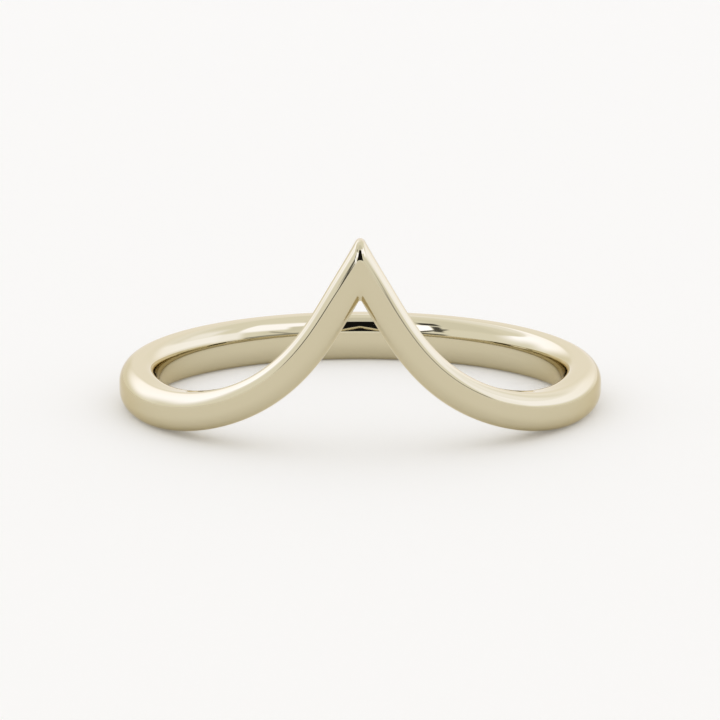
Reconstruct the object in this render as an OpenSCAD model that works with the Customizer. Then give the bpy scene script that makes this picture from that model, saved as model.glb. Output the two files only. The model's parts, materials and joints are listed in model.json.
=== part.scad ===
/* [Finger bore] */
// Inside diameter of the finger bore, which sets the ring size
bore_d = 17.2; // [15:0.1:21]

/* [Band] */
// Thickness of the band, from the finger bore to the outer face
wall = 1.6; // [1.4:0.05:2.2]
// Width of the band at the peak, square to the run of the arm
peak_w = 1.26; // [1.1:0.02:1.6]
// Width of the band at the back
back_w = 2.1; // [2.05:0.05:2.6]

/* [Chevron] */
// Height of the lower edge at the peak, above the surface that the ring rests on
peak_rise = 6.27; // [4.5:0.01:6.5]
// Slope of each arm where it leaves the peak, in degrees
peak_slope = 60.3; // [50:0.1:62]
// Angle round the ring from the peak to the foot of each arm, in degrees
foot_angle = 67; // [62:1:80]
// Length over which the arm holds the slope that it has at the peak
peak_hold = 2.95; // [2:0.05:3.5]
// Length over which the arm flattens out towards its foot
foot_hold = 8; // [6.5:0.1:8.5]
// Radius that the tip of the peak is polished down to
tip_round_r = 0.21; // [0.05:0.01:0.3]
// Radius of the fillet in the notch under the peak
notch_round_r = 0.08; // [0.02:0.01:0.2]

/* [Outer rounding] */
// Depth of the rounding between the outer face and the sides at the peak, through the wall
peak_round_depth = 0.58; // [0.3:0.02:0.7]
// Depth of this rounding at the back
back_round_depth = 0.66; // [0.3:0.02:0.7]
// Height of this rounding at the peak
peak_round_h = 0.44; // [0.2:0.02:0.54]
// Height of this rounding at the back
back_round_h = 0.92; // [0.5:0.02:1]

/* [Comfort rounding] */
// Depth of the rounding into the finger bore, through the wall
comfort_depth = 0.62; // [0.4:0.02:0.9]
// Height of this rounding, where the band is wide enough for it
comfort_h = 1; // [0.3:0.05:1.1]
// Fullness of this rounding, where 2 is a quarter of an ellipse and more is squarer
comfort_fullness = 2.3; // [2:0.1:3]

/* [Hidden] */

bore_r = bore_d / 2;
// The run of the band is laid out flat, then wrapped round a cylinder of this radius
run_r = bore_r + wall / 2;
back_s = PI * run_r;
foot_s = back_s * foot_angle / 180;
// The comfort rounding takes at most this share of the width on each side
comfort_share = 0.485;
// The flat land between the two roundings is at least this wide
least_land = 0.05;
// The swept blank stands this far into the finger bore before it is bored out
bore_stock = 0.01;
// The boring tool runs this far past the band at each end
bore_overrun = 1;

// Steps of the sweep: out of the mitre at the peak, down the arm, and round the back
mitre_steps = 8;
arm_steps = 28;
back_steps = 30;
// Steps on each rounded corner of the section
corner_steps = 5;
// The sections fan out from the mitre, and are square to the run from this place on it
mitre_end = 0.2;

// Places on the run are numbered 0 at the peak, 1 at the foot of the arm and 2 at the back
STATIONS = [
    for (i = [0 : mitre_steps]) mitre_end * (i / mitre_steps)^2,
    for (i = [1 : arm_steps]) mix(mitre_end, 1, i / arm_steps),
    for (i = [1 : back_steps]) 1 + i / back_steps
];

// The lower edge follows a curve with these four corners, as [distance round the ring, height]
PEAK = [0, peak_rise];
HOLD = PEAK + peak_hold * [cos(peak_slope), -sin(peak_slope)];
LEVEL = [foot_s - foot_hold, 0];
FOOT = [foot_s, 0];

function mix(a, b, share) = a + (b - a) * share;

// Before the peak the run goes straight on, and past the foot it lies level on the surface
function run_point(t) =
    t < 0 ? PEAK + 3 * t * (HOLD - PEAK)
    : t > 1 ? [mix(foot_s, back_s, t - 1), 0]
    : (1 - t)^3 * PEAK + 3 * (1 - t)^2 * t * HOLD + 3 * (1 - t) * t^2 * LEVEL + t^3 * FOOT;

function run_direction(t) =
    t < 0 ? HOLD - PEAK
    : t > 1 ? FOOT - LEVEL
    : (1 - t)^2 * (HOLD - PEAK) + 2 * (1 - t) * t * (LEVEL - HOLD) + t^2 * (FOOT - LEVEL);

// Angle round the ring from the peak, in degrees
function turn(t) = 180 * run_point(t)[0] / back_s;

// How far each tapered size has gone from its value at the peak, 0, to that at the back, 1
function taper(t) = sin(turn(t) / 2);

function bowed(x, fullness) = sign(x) * pow(abs(x), 2 / fullness);

// A quarter of an ellipse from the angle given, or of a squarer curve where the fullness is above 2
function corner(centre, depth, height, from, fullness) = [
    for (i = [0 : corner_steps])
        let (a = from + 90 * i / corner_steps)
        centre + [depth * bowed(cos(a), fullness), height * bowed(sin(a), fullness)]
];

// Outline of the blank at one place, as [distance out from the bore, height above the lower edge]
function section(t) =
    let (
        w = mix(peak_w, back_w, taper(t)),
        outer_h = mix(peak_round_h, back_round_h, taper(t)),
        outer_depth = mix(peak_round_depth, back_round_depth, taper(t)),
        outer_start = wall - outer_depth,
        inner_h = min(comfort_h, comfort_share * w),
        inner_end = min(comfort_depth, outer_start - least_land),
        inner_depth = inner_end + bore_stock
    )
    concat(
        corner([inner_end, inner_h], inner_depth, inner_h, 180, comfort_fullness),
        corner([outer_start, outer_h], outer_depth, outer_h, 270, 2),
        corner([outer_start, w - outer_h], outer_depth, outer_h, 0, 2),
        corner([inner_end, w - inner_h], inner_depth, inner_h, 90, comfort_fullness)
    );

// Moves a point back along the run near the peak, so that the two arms meet in a mitre
function mitred(t, height) =
    t < mitre_end
    ? t - (1 - t / mitre_end) * height * tan(peak_slope) / (3 * peak_hold)
    : t;

// How far the rounded ridge of the peak lies above a sharp mitre, which is below zero in the middle
function polished(distance, height) =
    let (r = mix(notch_round_r, tip_round_r, height / peak_w))
    distance < r * sin(peak_slope)
    ? sqrt(r^2 - distance^2) + distance * tan(peak_slope) - r / cos(peak_slope)
    : 0;

// Wraps a point of the flat layout round the finger, on the right arm or on the left
function wrap(side, distance, out, height) =
    let (
        a = 180 * distance / back_s,
        r = bore_r + out
    )
    [side * r * sin(a), -r * cos(a), height];

// A point of the section, set square to the run
function placed(t, side, p) =
    let (
        u = mitred(t, p[1]),
        edge = run_point(u),
        dir = run_direction(u) / norm(run_direction(u)),
        distance = edge[0] - dir[1] * p[1]
    )
    wrap(side, distance, p[0], edge[1] + dir[0] * p[1] + polished(distance, p[1]));

// The sections as [place, side], from the back up one arm to the peak and down the other
LAST = len(STATIONS) - 1;
RINGS = [
    for (i = [LAST : -1 : 0]) [STATIONS[i], -1],
    for (i = [1 : LAST - 1]) [STATIONS[i], 1]
];

// The band before it is bored, as one closed sweep
module blank() {
    rings = len(RINGS);
    sides = 4 * (corner_steps + 1);
    points = [for (ring = RINGS) for (p = section(ring[0])) placed(ring[0], ring[1], p)];
    faces = [
        for (i = [0 : rings - 1])
            for (j = [0 : sides - 1])
                let (
                    a = i * sides,
                    b = (i + 1) % rings * sides,
                    k = (j + 1) % sides
                )
                each [[a + j, b + k, b + j], [a + j, a + k, b + k]]
    ];
    polyhedron(points, faces);
}

module finger_bore() {
    tip = peak_rise + peak_w / cos(peak_slope);
    translate([0, 0, -bore_overrun])
        cylinder(r = bore_r, h = tip + 2 * bore_overrun, $fn = 180);
}

module band() {
    color([0.88, 0.82, 0.66])
        difference() {
            blank();
            finger_bore();
        }
}

band();
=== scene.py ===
import collections
import json
import math

import bpy
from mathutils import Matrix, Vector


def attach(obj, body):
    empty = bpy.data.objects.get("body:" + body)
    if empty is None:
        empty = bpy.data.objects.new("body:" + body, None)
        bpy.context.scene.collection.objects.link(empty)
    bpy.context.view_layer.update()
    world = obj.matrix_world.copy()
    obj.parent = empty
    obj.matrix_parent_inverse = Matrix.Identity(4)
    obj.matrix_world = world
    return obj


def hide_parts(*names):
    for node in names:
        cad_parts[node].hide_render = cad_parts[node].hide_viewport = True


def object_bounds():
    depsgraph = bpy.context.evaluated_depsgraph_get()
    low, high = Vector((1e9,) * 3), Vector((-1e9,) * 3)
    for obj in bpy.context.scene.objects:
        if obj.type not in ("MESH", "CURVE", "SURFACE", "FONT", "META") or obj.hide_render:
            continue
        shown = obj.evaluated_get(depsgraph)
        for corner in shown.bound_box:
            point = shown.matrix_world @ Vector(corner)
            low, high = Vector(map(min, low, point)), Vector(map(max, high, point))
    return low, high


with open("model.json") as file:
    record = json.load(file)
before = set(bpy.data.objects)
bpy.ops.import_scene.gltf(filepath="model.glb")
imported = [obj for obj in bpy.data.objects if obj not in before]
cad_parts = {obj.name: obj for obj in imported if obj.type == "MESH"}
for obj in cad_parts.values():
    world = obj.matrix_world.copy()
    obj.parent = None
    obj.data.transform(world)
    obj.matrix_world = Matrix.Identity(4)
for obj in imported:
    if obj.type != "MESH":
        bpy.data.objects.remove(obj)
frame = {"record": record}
cad_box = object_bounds()

MM = 0.001

# Sizes of the band in millimetres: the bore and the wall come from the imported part
mounts = {mount["name"]: mount for mount in frame["record"]["mounts"]}
BORE_R = mounts["finger_bore"]["dims"]["r_mm"]
WALL = (cad_box[1].x - cad_box[0].x) / 2 / MM - BORE_R
PEAK_W = 1.26
BACK_W = 2.1

# The chevron: the lower edge leaves the peak on a slope and flattens out at the foot of each arm
PEAK_RISE = 6.27
PEAK_SLOPE = math.radians(60.3)
FOOT_ANGLE = 67
PEAK_HOLD = 2.95
FOOT_HOLD = 8
TIP_ROUND_R = 0.21
NOTCH_ROUND_R = 0.08

# The rounding between the outer face and the sides, and the comfort rounding into the bore
PEAK_ROUND_DEPTH = 0.58
BACK_ROUND_DEPTH = 0.66
PEAK_ROUND_H = 0.44
BACK_ROUND_H = 0.92
COMFORT_DEPTH = 0.62
COMFORT_H = 1
COMFORT_SHARE = 0.485
COMFORT_FULLNESS = 2.3
LEAST_LAND = 0.05

# Worked out from the sizes above
RUN_R = BORE_R + WALL / 2
BACK_S = math.pi * RUN_R
FOOT_S = BACK_S * FOOT_ANGLE / 180
PEAK = (0, PEAK_RISE)
HOLD = (PEAK_HOLD * math.cos(PEAK_SLOPE), PEAK_RISE - PEAK_HOLD * math.sin(PEAK_SLOPE))
LEVEL = (FOOT_S - FOOT_HOLD, 0)
FOOT = (FOOT_S, 0)

# Steps of the mesh: out of the mitre, down the arm, round the back, and on each corner and flat of the section
MITRE_STEPS = 24
ARM_STEPS = 100
BACK_STEPS = 90
CORNER_STEPS = 16
FLAT_STEPS = 5
MITRE_END = 0.2

# The metal: its colour, its tint at a grazing angle, its clouds, and its buffing lines, with sizes in millimetres.
# Where the noise of the clouds goes from clear to dense, the roughness goes from least to most.
GOLD = (0.642, 0.577, 0.406, 1)
DEEPER_GOLD = (0.628, 0.562, 0.386, 1)
EDGE_TINT = (0.85, 0.787, 0.65, 1)
CLOUD_SIZE = 2.5
CLOUD_DETAIL = 3
CLEAR_CLOUD = 0.3
DENSE_CLOUD = 0.7
LEAST_ROUGHNESS = 0.03
MOST_ROUGHNESS = 0.055
HAIR_LENGTH = 6
HAIR_WIDTH = 0.12
HAIR_DEPTH = 0.0004
HAIR_DETAIL = 2

# The floor: half its width in metres, and its paper, which has a slight painted glow of its own that lifts the ring's
# shadows on it
FLOOR_HALF_W = 3
PAPER = (0.86, 0.852, 0.835, 1)
PAPER_ROUGHNESS = 0.9
PAPER_SHEEN = 0.2
PAPER_PAINTED_GLOW = (1, 0.99, 0.97, 1)
PAPER_PAINTED_GLOW_STRENGTH = 0.12

# The camera: its place in metres, its tilt down in degrees, and its lens, which is measured in pixels of a picture
# that is PICTURE_W wide and has its middle at MIDDLE_X. The nearest and farthest things seen are in metres.
CAMERA_PLACE = (0, -0.1311437, 0.0288874)
CAMERA_TILT = 11.6556
PICTURE_W = 720
MIDDLE_X = 359.5
LENS_X = 359.71
FOCAL_PIXELS = 3158.41
SENSOR_MM = 36
NEAREST_SEEN = 0.01
FARTHEST_SEEN = 20

# The light: how bright the room is where no card lies, the colour of all its light, and what the part over
# GLARE_FROM adds to that colour, then the even light on the floor and the backdrop beyond it
ROOM_LIGHT = 1.08
LIGHT_COLOUR = (0.985, 1.0, 1.015)
GLARE = (-0.15, -0.05, 0.7)
GLARE_FROM = 1.05
FLOOR_LIGHT = (0.962, 0.957, 0.957)
BACKDROP = (0.956, 0.948, 0.930)

# Soft-edged cards of light round the ring, each over those before it, with angles in degrees. Azimuth is 0 on the
# camera's side and 90 on the right, and elevation is 0 at the horizon. Each of the two has its lower and upper end,
# and the widths of its two soft edges. A card leans up by lean degrees a degree of azimuth.
Card = collections.namedtuple("Card", "azimuth elevation light azimuth_soft elevation_soft lean", defaults=(0,))
CARDS = (
    # Softbox behind on the left, the end that reaches forward and the glow over it
    Card((-182, -122), (15, 44), 1.76, (6, 24), (18, 14), -0.28),
    Card((-150, -95), (21, 35.5), 1.78, (24, 24), (22, 3), -0.3),
    Card((-175, -125), (42, 62), 1.28, (20, 30), (10, 20)),
    # Greyer parts on the left and overhead
    Card((-96, -52), (25, 70), 0.98, (20, 10), (10, 20)),
    Card((-40, 40), (49, 80), 0.88, (10, 10), (3, 10)),
    # Strip lights on the left of the camera and the black flags beside them
    Card((-49.5, -42), (10.5, 31), 0.1, (3, 2), (3, 3)),
    Card((-52, -38), (35, 47), 0.08, (4, 4), (3, 4)),
    Card((-43.5, -34), (10, 34.5), 1.9, (2, 3), (3, 3)),
    Card((-53, -17), (4.9, 9.5), 0.12, (5, 4), (2, 2), -0.8),
    Card((-34, -12), (1.5, 8), 1.8, (2, 2), (2, 2), -0.8),
    Card((-33, -13), (16, 34), 1.7, (3, 2), (4, 4)),
    # Softboxes on the right of the camera, the grey between them and a flag that leans the other way
    Card((16, 60), (-3, 17), 1.0, (6, 10), (2, 6)),
    Card((34, 78), (20, 49), 1.68, (5, 5), (8, 10), 0.1),
    Card((28, 43), (12, 29), 0.95, (4, 6), (4, 5)),
    Card((14, 34), (30, 50), 1.7, (3, 4), (3, 3)),
    Card((32, 54), (4, 8), 0.55, (3, 4), (2, 2), 0.8),
    # Low dark strips at both sides of the camera, which draw the fine lines beside the face
    Card((34, 71), (0.5, 5), 0.38, (10, 5), (2, 2)),
    Card((-51, -20), (0, 4.4), 0.12, (6, 4), (1, 2)),
    # The wall behind on the right and the long low softbox in front of it
    Card((142, 190), (-2, 45), 1.28, (20, 10), (4, 20)),
    Card((73, 95), (4, 26), 1.45, (8, 8), (8, 8)),
    Card((91, 158), (6, 27), 1.54, (8, 24), (8, 8)),
    Card((98, 135), (26, 44), 1.4, (14, 30), (8, 14)),
    # The dark round the camera
    Card((-14, 14), (3, 47), 0.01, (2, 2), (1, 3)),
)


def mix(a, b, share):
    return a + (b - a) * share


def run_point(t):
    """The lower edge at place t, as (distance round the ring, height): 0 is the peak, 1 the foot and 2 the back."""
    if t < 0:
        return tuple(p + 3 * t * (h - p) for p, h in zip(PEAK, HOLD))
    if t > 1:
        return mix(FOOT_S, BACK_S, t - 1), 0
    u = 1 - t
    weights = (u**3, 3 * u * u * t, 3 * u * t * t, t**3)
    return tuple(sum(w * c for w, c in zip(weights, axis)) for axis in zip(PEAK, HOLD, LEVEL, FOOT))


def run_direction(t):
    """The way that the lower edge runs at place t, as a vector of length 1."""
    if t > 1:
        return 1, 0
    t = max(t, 0)
    u = 1 - t
    weights = (u * u, 2 * u * t, t * t)
    steps = [[b - a for a, b in zip(*pair)] for pair in ((PEAK, HOLD), (HOLD, LEVEL), (LEVEL, FOOT))]
    d = [sum(w * c for w, c in zip(weights, axis)) for axis in zip(*steps)]
    length = math.hypot(*d)
    return d[0] / length, d[1] / length


def bowed(x, fullness):
    """A sine or cosine bent outwards: fullness 2 keeps a circle, and more makes it squarer."""
    return math.copysign(abs(x) ** (2 / fullness), x)


def corner(centre, depth, height, start, fullness=2):
    """A quarter of an ellipse from the angle start in degrees, or of a squarer curve, without its last point."""
    points = []
    for i in range(CORNER_STEPS):
        a = math.radians(start + 90 * i / CORNER_STEPS)
        points.append((centre[0] + depth * bowed(math.cos(a), fullness),
                       centre[1] + height * bowed(math.sin(a), fullness)))
    return points


def flat(a, b):
    """A straight stretch of the section without its last point."""
    return [(mix(a[0], b[0], i / FLAT_STEPS), mix(a[1], b[1], i / FLAT_STEPS)) for i in range(FLAT_STEPS)]


def section(t):
    """The outline of the band at place t, as (distance out from the bore, height above the lower edge)."""
    taper = math.sin(math.pi / 2 * run_point(t)[0] / BACK_S)
    w = mix(PEAK_W, BACK_W, taper)
    outer_h = mix(PEAK_ROUND_H, BACK_ROUND_H, taper)
    outer_depth = mix(PEAK_ROUND_DEPTH, BACK_ROUND_DEPTH, taper)
    outer = WALL - outer_depth
    inner_h = min(COMFORT_H, COMFORT_SHARE * w)
    inner = min(COMFORT_DEPTH, outer - LEAST_LAND)
    return (
        corner((inner, inner_h), inner, inner_h, 180, COMFORT_FULLNESS)
        + flat((inner, 0), (outer, 0))
        + corner((outer, outer_h), outer_depth, outer_h, 270)
        + flat((WALL, outer_h), (WALL, w - outer_h))
        + corner((outer, w - outer_h), outer_depth, outer_h, 0)
        + flat((outer, w), (inner, w))
        + corner((inner, w - inner_h), inner, inner_h, 90, COMFORT_FULLNESS)
        + flat((0, w - inner_h), (0, inner_h))
    )


def mitred(t, height):
    """The place on the run of a point at this height, moved near the peak so that the arms meet in a mitre."""
    if t >= MITRE_END:
        return t
    return t - (1 - t / MITRE_END) * height * math.tan(PEAK_SLOPE) / (3 * PEAK_HOLD)


def polished(distance, height):
    """How far the rounded ridge of the peak lies above a sharp mitre, which is below zero at the middle."""
    r = mix(NOTCH_ROUND_R, TIP_ROUND_R, height / PEAK_W)
    if distance >= r * math.sin(PEAK_SLOPE):
        return 0
    return math.sqrt(r * r - distance * distance) + distance * math.tan(PEAK_SLOPE) - r / math.cos(PEAK_SLOPE)


def placed(t, side, point):
    """A point of the section in space, in metres, on the right arm, side 1, or on the left, side -1."""
    out, height = point
    u = mitred(t, height)
    edge, direction = run_point(u), run_direction(u)
    distance = edge[0] - direction[1] * height
    rise = edge[1] + direction[0] * height + polished(distance, height)
    angle = math.pi * distance / BACK_S
    r = BORE_R + out
    return side * r * math.sin(angle) * MM, -r * math.cos(angle) * MM, rise * MM


def stations():
    """The places of the sections: close together at the mitre, and even along the arm and the back."""
    mitre = [MITRE_END * (i / MITRE_STEPS) ** 2 for i in range(MITRE_STEPS + 1)]
    arm = [mix(MITRE_END, 1, i / ARM_STEPS) for i in range(1, ARM_STEPS + 1)]
    back = [1 + i / BACK_STEPS for i in range(1, BACK_STEPS + 1)]
    return mitre + arm + back


def map_sweep(mesh, runs, outline):
    """Maps the mesh in millimetres: along the run, and round the outline of the section from its first point."""
    sides = len(outline)
    rounds = [0]
    for a, b in zip(outline, outline[1:] + outline[:1]):
        rounds.append(rounds[-1] + math.dist(a, b))
    uv = mesh.uv_layers.new(name="sweep").data
    for face in mesh.polygons:
        i, j = divmod(face.index, sides)
        along = runs[i], runs[(i + 1) % len(runs)]
        corners = (along[0], rounds[j]), (along[1], rounds[j]), (along[1], rounds[j + 1]), (along[0], rounds[j + 1])
        for loop, corner_uv in zip(face.loop_indices, corners):
            uv[loop].uv = corner_uv


def make_band():
    """The whole ring as one closed sweep, up the left arm to the peak and down the right one."""
    places = stations()
    rings = [(t, -1) for t in reversed(places)] + [(t, 1) for t in places[1:-1]]
    sides = len(section(0))
    points = [placed(t, side, p) for t, side in rings for p in section(t)]
    faces = []
    for i in range(len(rings)):
        a, b = i * sides, (i + 1) % len(rings) * sides
        for j in range(sides):
            k = (j + 1) % sides
            faces.append((a + j, b + j, b + k, a + k))
    mesh = bpy.data.meshes.new("band_polished")
    mesh.from_pydata(points, [], faces)
    mesh.shade_smooth()
    map_sweep(mesh, [run_point(t)[0] for t, side in rings], section(0))
    obj = bpy.data.objects.new("band_polished", mesh)
    bpy.context.scene.collection.objects.link(obj)
    return obj


def gold():
    """Polished pale yellow gold: a mirror finish, faintly clouded, with the hair lines that a buffing wheel leaves."""
    material = bpy.data.materials.new("polished_gold")
    material.use_nodes = True
    nodes, links = material.node_tree.nodes, material.node_tree.links
    shader = nodes["Principled BSDF"]
    shader.inputs["Metallic"].default_value = 1
    shader.inputs["Specular Tint"].default_value = EDGE_TINT

    # Clouds a few millimetres wide, in the solid metal
    place = nodes.new("ShaderNodeTexCoord")
    clouds = nodes.new("ShaderNodeTexNoise")
    clouds.inputs["Scale"].default_value = 1 / (CLOUD_SIZE * MM)
    clouds.inputs["Detail"].default_value = CLOUD_DETAIL
    links.new(place.outputs["Object"], clouds.inputs["Vector"])
    alloy = nodes.new("ShaderNodeMix")
    alloy.data_type = "RGBA"
    alloy.inputs["A"].default_value = GOLD
    alloy.inputs["B"].default_value = DEEPER_GOLD
    links.new(clouds.outputs["Fac"], alloy.inputs["Factor"])
    links.new(alloy.outputs["Result"], shader.inputs["Base Color"])
    haze = nodes.new("ShaderNodeMapRange")
    haze.inputs["From Min"].default_value = CLEAR_CLOUD
    haze.inputs["From Max"].default_value = DENSE_CLOUD
    haze.inputs["To Min"].default_value = LEAST_ROUGHNESS
    haze.inputs["To Max"].default_value = MOST_ROUGHNESS
    links.new(clouds.outputs["Fac"], haze.inputs["Value"])
    links.new(haze.outputs["Result"], shader.inputs["Roughness"])

    # Hair lines along the run of the band
    sweep = nodes.new("ShaderNodeUVMap")
    sweep.uv_map = "sweep"
    stretch = nodes.new("ShaderNodeVectorMath")
    stretch.operation = "MULTIPLY"
    stretch.inputs[1].default_value = (1 / HAIR_LENGTH, 1 / HAIR_WIDTH, 1)
    links.new(sweep.outputs["UV"], stretch.inputs[0])
    hairs = nodes.new("ShaderNodeTexNoise")
    hairs.inputs["Scale"].default_value = 1
    hairs.inputs["Detail"].default_value = HAIR_DETAIL
    links.new(stretch.outputs["Vector"], hairs.inputs["Vector"])
    bump = nodes.new("ShaderNodeBump")
    bump.inputs["Distance"].default_value = HAIR_DEPTH * MM
    links.new(hairs.outputs["Fac"], bump.inputs["Height"])
    links.new(bump.outputs["Normal"], shader.inputs["Normal"])
    return material


def make_camera():
    data = bpy.data.cameras.new("camera")
    data.sensor_width = SENSOR_MM
    data.lens = FOCAL_PIXELS / PICTURE_W * SENSOR_MM
    data.shift_x = (MIDDLE_X - LENS_X) / PICTURE_W
    data.clip_start = NEAREST_SEEN
    data.clip_end = FARTHEST_SEEN
    camera = bpy.data.objects.new("camera", data)
    camera.location = CAMERA_PLACE
    camera.rotation_euler = (math.radians(90 - CAMERA_TILT), 0, 0)
    bpy.context.scene.collection.objects.link(camera)
    bpy.context.scene.camera = camera


def make_floor():
    mesh = bpy.data.meshes.new("floor")
    r = FLOOR_HALF_W
    mesh.from_pydata([(-r, -r, 0), (r, -r, 0), (r, r, 0), (-r, r, 0)], [], [(0, 1, 2, 3)])
    obj = bpy.data.objects.new("floor", mesh)
    bpy.context.scene.collection.objects.link(obj)
    material = bpy.data.materials.new("floor_paper")
    material.use_nodes = True
    shader = material.node_tree.nodes["Principled BSDF"]
    shader.inputs["Base Color"].default_value = PAPER
    shader.inputs["Roughness"].default_value = PAPER_ROUGHNESS
    shader.inputs["Specular IOR Level"].default_value = PAPER_SHEEN
    # The paper's emission is a painted glow: the floor gives light that plain paper doesn't, which pales the ring's
    # shadows on it
    shader.inputs["Emission Color"].default_value = PAPER_PAINTED_GLOW
    shader.inputs["Emission Strength"].default_value = PAPER_PAINTED_GLOW_STRENGTH
    mesh.materials.append(material)


class Sky:
    """Builds the world's light as a function of direction, from an even light and the cards laid over it."""

    def __init__(self, light):
        world = bpy.data.worlds.new("studio")
        bpy.context.scene.world = world
        world.use_nodes = True
        self.nodes, self.links = world.node_tree.nodes, world.node_tree.links
        world.cycles.sampling_method = "NONE"
        self.nodes.clear()
        coord = self.nodes.new("ShaderNodeTexCoord")
        split = self.nodes.new("ShaderNodeSeparateXYZ")
        self.links.new(coord.outputs["Generated"], split.inputs[0])
        back = self.math("MULTIPLY", split.outputs["Y"], -1)
        self.azimuth = self.math("DEGREES", self.math("ARCTAN2", split.outputs["X"], back))
        self.elevation = self.math("DEGREES", self.math("ARCSINE", split.outputs["Z"]))
        self.light = light

    def math(self, operation, *values):
        node = self.nodes.new("ShaderNodeMath")
        node.operation = operation
        for socket, value in zip(node.inputs, values):
            if isinstance(value, (int, float)):
                socket.default_value = value
            else:
                self.links.new(value, socket)
        return node.outputs[0]

    def scaled(self, vector, factor):
        node = self.nodes.new("ShaderNodeVectorMath")
        node.operation = "SCALE"
        node.inputs[0].default_value = vector
        self.links.new(factor, node.inputs["Scale"])
        return node.outputs[0]

    def rise(self, value, at, soft):
        """0 below the angle at, 1 above it, with an edge that is soft degrees wide."""
        node = self.nodes.new("ShaderNodeMapRange")
        node.interpolation_type = "SMOOTHSTEP"
        self.links.new(value, node.inputs["Value"])
        node.inputs["From Min"].default_value = at - soft / 2
        node.inputs["From Max"].default_value = at + soft / 2
        return node.outputs[0]

    def span(self, value, low, high, low_soft, high_soft):
        above = self.rise(value, low, low_soft)
        return self.math("MULTIPLY", above, self.math("SUBTRACT", 1, self.rise(value, high, high_soft)))

    def add(self, card):
        """Sets the light to the card's inside its ranges of azimuth and elevation."""
        half = (card.azimuth[1] - card.azimuth[0]) / 2
        across = self.math("SUBTRACT", self.azimuth, card.azimuth[0] + half)
        across = self.math("WRAP", across, 180, -180)
        up = self.math("SUBTRACT", self.elevation, self.math("MULTIPLY", across, card.lean))
        mask = self.math("MULTIPLY", self.span(across, -half, half, *card.azimuth_soft),
                         self.span(up, *card.elevation, *card.elevation_soft))
        change = self.math("SUBTRACT", card.light, self.light)
        self.light = self.math("ADD", self.light, self.math("MULTIPLY", mask, change))

    def background(self, colour):
        node = self.nodes.new("ShaderNodeBackground")
        node.inputs["Color"].default_value = (*colour, 1)
        return node

    def either(self, choice, no, yes):
        node = self.nodes.new("ShaderNodeMixShader")
        self.links.new(choice, node.inputs[0])
        self.links.new(no, node.inputs[1])
        self.links.new(yes, node.inputs[2])
        return node.outputs[0]

    def finish(self, colour, glare, glare_from, ambient, seen):
        """Colours the cards' light, adding glare times what exceeds glare_from, for the reflections in the metal.

        The floor gets the even light ambient, and past its edge the camera sees the plain colour seen.
        """
        excess = self.math("MAXIMUM", self.math("SUBTRACT", self.light, glare_from), 0)
        total = self.nodes.new("ShaderNodeVectorMath")
        self.links.new(self.scaled(colour, self.light), total.inputs[0])
        self.links.new(self.scaled(glare, excess), total.inputs[1])
        cards = self.background(colour)
        self.links.new(total.outputs[0], cards.inputs["Color"])
        path = self.nodes.new("ShaderNodeLightPath")
        light = self.either(path.outputs["Is Diffuse Ray"], cards.outputs[0], self.background(ambient).outputs[0])
        light = self.either(path.outputs["Is Camera Ray"], light, self.background(seen).outputs[0])
        out = self.nodes.new("ShaderNodeOutputWorld")
        self.links.new(light, out.inputs["Surface"])


def light_studio():
    sky = Sky(ROOM_LIGHT)
    for card in CARDS:
        sky.add(card)
    sky.finish(LIGHT_COLOUR, GLARE, GLARE_FROM, FLOOR_LIGHT, BACKDROP)


band = make_band()
band.data.materials.append(gold())
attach(band, "root")
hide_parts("band")
make_camera()
make_floor()
light_studio()
bpy.context.scene.view_settings.view_transform = "Standard"
bpy.context.scene.cycles.use_denoising = True
